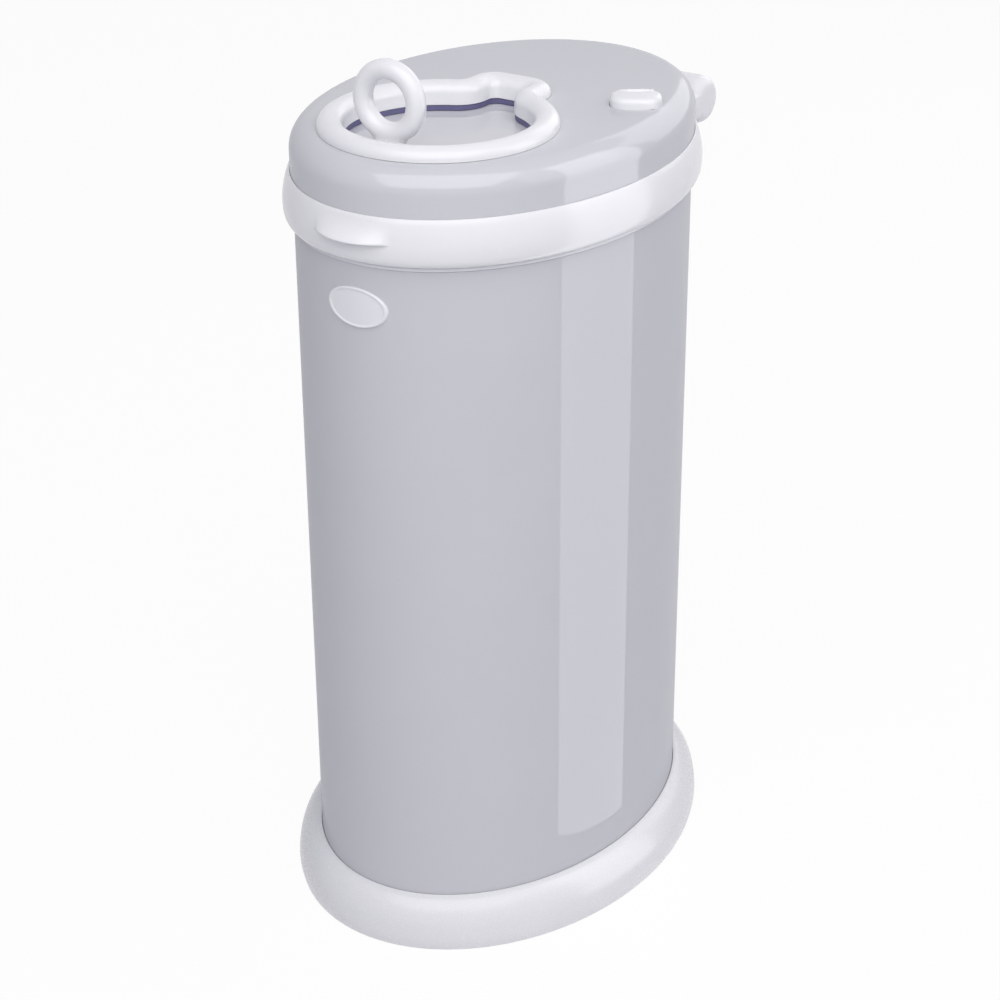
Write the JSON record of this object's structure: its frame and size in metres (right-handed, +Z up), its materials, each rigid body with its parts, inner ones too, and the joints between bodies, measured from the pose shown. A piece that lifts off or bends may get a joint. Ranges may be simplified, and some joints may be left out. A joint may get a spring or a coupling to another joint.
{
  "type": "nappy bin",
  "caption": "Tall oval steel nappy bin with a flared base, hinged lid, keyhole opening, sliding door with a ring handle and a push-button lock.",
  "frame": {"origin": "centre of the bounding box's footprint, on the floor", "axes": "+Z up, front (thumb lip and badge) towards -Y, hinge towards +Y, lock button on the +X side"},
  "size_m": [0.2466, 0.336, 0.5675],
  "materials": {
    "white_plastic": "smooth moulded, medium gloss",
    "white_inner_plastic": "fine satin",
    "grey_paint": "satin powder coat",
    "grey_door": "high gloss",
    "grey_pan_paint": "satin powder coat",
    "bright_steel": "plain zinc",
    "foot_rubber": "matte",
    "seal_rubber": "matte",
    "badge_plastic": "smooth, bare"
  },
  "bodies": {
    "body": {"base_rim": "white_plastic", "bottom_plate": "grey_pan_paint", "body_shell": "grey_paint", "badge": "badge_plastic", "top_collar": "white_inner_plastic", "bag_ring": "white_inner_plastic", "hinge_bracket": "white_inner_plastic", "hinge_pin": "bright_steel", "rubber_foot_1": "foot_rubber", "rubber_foot_2": "foot_rubber", "rubber_foot_3": "foot_rubber", "rubber_foot_4": "foot_rubber", "base_screw_1": "bright_steel", "base_screw_2": "bright_steel", "base_screw_3": "bright_steel", "base_screw_4": "bright_steel", "bracket_rivet_1": "bright_steel", "bracket_rivet_2": "bright_steel", "bracket_rivet_3": "bright_steel", "bracket_rivet_4": "bright_steel"},
    "lid": {"lid_frame": "white_plastic", "lid_cover": "grey_paint", "opening_bezel": "white_plastic", "door_seal": "seal_rubber", "inner_lid_panel": "white_inner_plastic", "lid_seal": "foot_rubber", "door_rail_left": "white_inner_plastic", "door_rail_right": "white_inner_plastic", "lock_housing": "white_inner_plastic", "lock_spring": "bright_steel", "hinge_cap": "white_plastic", "lid_screw_1": "bright_steel", "lid_screw_2": "bright_steel", "lid_screw_3": "bright_steel", "lid_screw_4": "bright_steel", "lid_screw_5": "bright_steel", "lid_screw_6": "bright_steel", "panel_screw_1": "bright_steel", "panel_screw_2": "bright_steel", "panel_screw_3": "bright_steel", "panel_screw_4": "bright_steel", "panel_screw_5": "bright_steel", "panel_screw_6": "bright_steel"},
    "door": {"slide_door": "grey_door", "ring_handle": "white_plastic", "handle_screw_1": "bright_steel", "handle_screw_2": "bright_steel"},
    "lock": {"lock_button": "white_plastic", "lock_plunger": "white_inner_plastic"}
  },
  "joints": [
    {"name": "lid_hinge", "type": "hinge", "parent": "body", "child": "lid", "pos_m": [0, 0.15285, 0.483], "axis": [-1, 0, 0], "range_deg": [0, 95]},
    {"name": "door_slide", "type": "slide", "parent": "lid", "child": "door", "axis": [0, 1, 0], "range_m": [0, 0.117]},
    {"name": "lock_press", "type": "slide", "parent": "lid", "child": "lock", "axis": [0, 0, -1], "range_m": [0, 0.003], "stiffness_N_per_m": 400, "springref_m": -0.003, "deforming": ["lock_spring"]}
  ]
}
